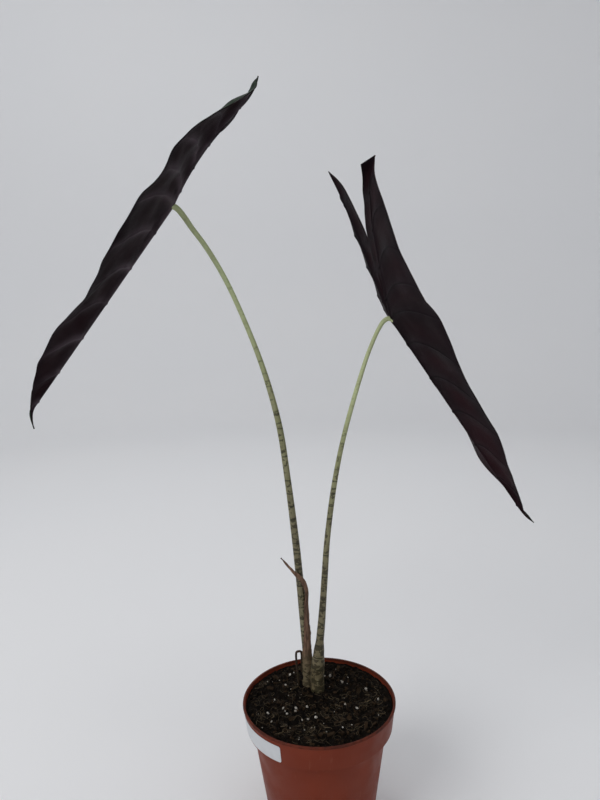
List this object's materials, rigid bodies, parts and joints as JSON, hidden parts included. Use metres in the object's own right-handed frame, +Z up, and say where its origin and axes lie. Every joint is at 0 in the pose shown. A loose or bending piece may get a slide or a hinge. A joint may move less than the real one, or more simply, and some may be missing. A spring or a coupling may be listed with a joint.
{
  "type": "potted alocasia longiloba",
  "caption": "Aroid house plant with long dark arrow-shaped leaves on arched stalks, in a round tapered nursery pot filled with potting mix.",
  "frame": {"origin": "middle of the pot's flat underside", "axes": "+Z up along the pot's axis, +X to the side of the lower leaf, -Y to the front"},
  "size_m": [0.3853, 0.1461, 0.5735],
  "materials": {
    "pot_plastic": "moulded, satin",
    "potting_mix": "loose and fibrous",
    "petiole": "smooth, banded",
    "blade": "leathery, satin",
    "dry_sheath": "dry and papery",
    "label_paper": "coated, blank"
  },
  "bodies": {
    "root": {"nursery_pot": "pot_plastic", "potting_mix": "potting_mix", "petiole_left": "petiole", "petiole_right": "petiole", "blade_left": "blade", "blade_right": "blade", "dry_sheath": "dry_sheath", "stalk_remnant": "dry_sheath", "blank_label": "label_paper"}
  },
  "joints": []
}
